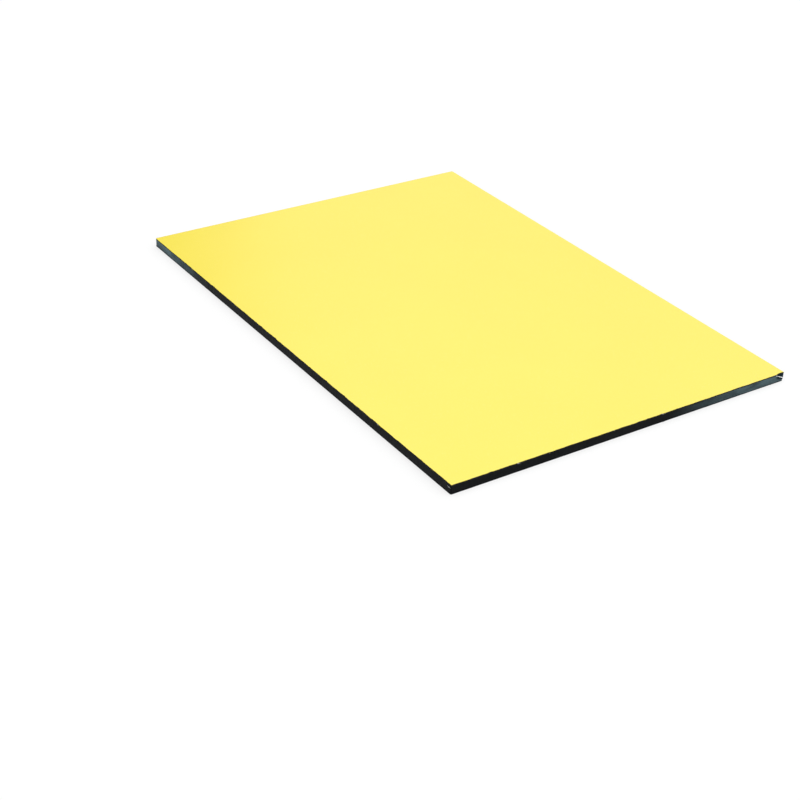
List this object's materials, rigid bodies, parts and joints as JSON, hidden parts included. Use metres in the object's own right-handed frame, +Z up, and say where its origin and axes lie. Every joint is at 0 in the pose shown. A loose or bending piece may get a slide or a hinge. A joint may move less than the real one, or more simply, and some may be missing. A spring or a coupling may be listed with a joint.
{
  "type": "aluminium composite panel",
  "caption": "Flat rectangular sandwich sheet: gloss yellow aluminium face skin, dark polyethylene core and bare aluminium back skin, A4 sample size.",
  "frame": {"origin": "middle of the back face, on the surface the panel lies on", "axes": "+X along the long side, +Y along the short side, +Z up, out of the yellow face"},
  "size_m": [0.297, 0.21, 0.005],
  "materials": {
    "coated_aluminium": "gloss",
    "polyethylene_core": "satin",
    "bare_aluminium": "satin"
  },
  "bodies": {
    "root": {"face_skin": "coated_aluminium", "core": "polyethylene_core", "back_skin": "bare_aluminium"}
  },
  "joints": []
}
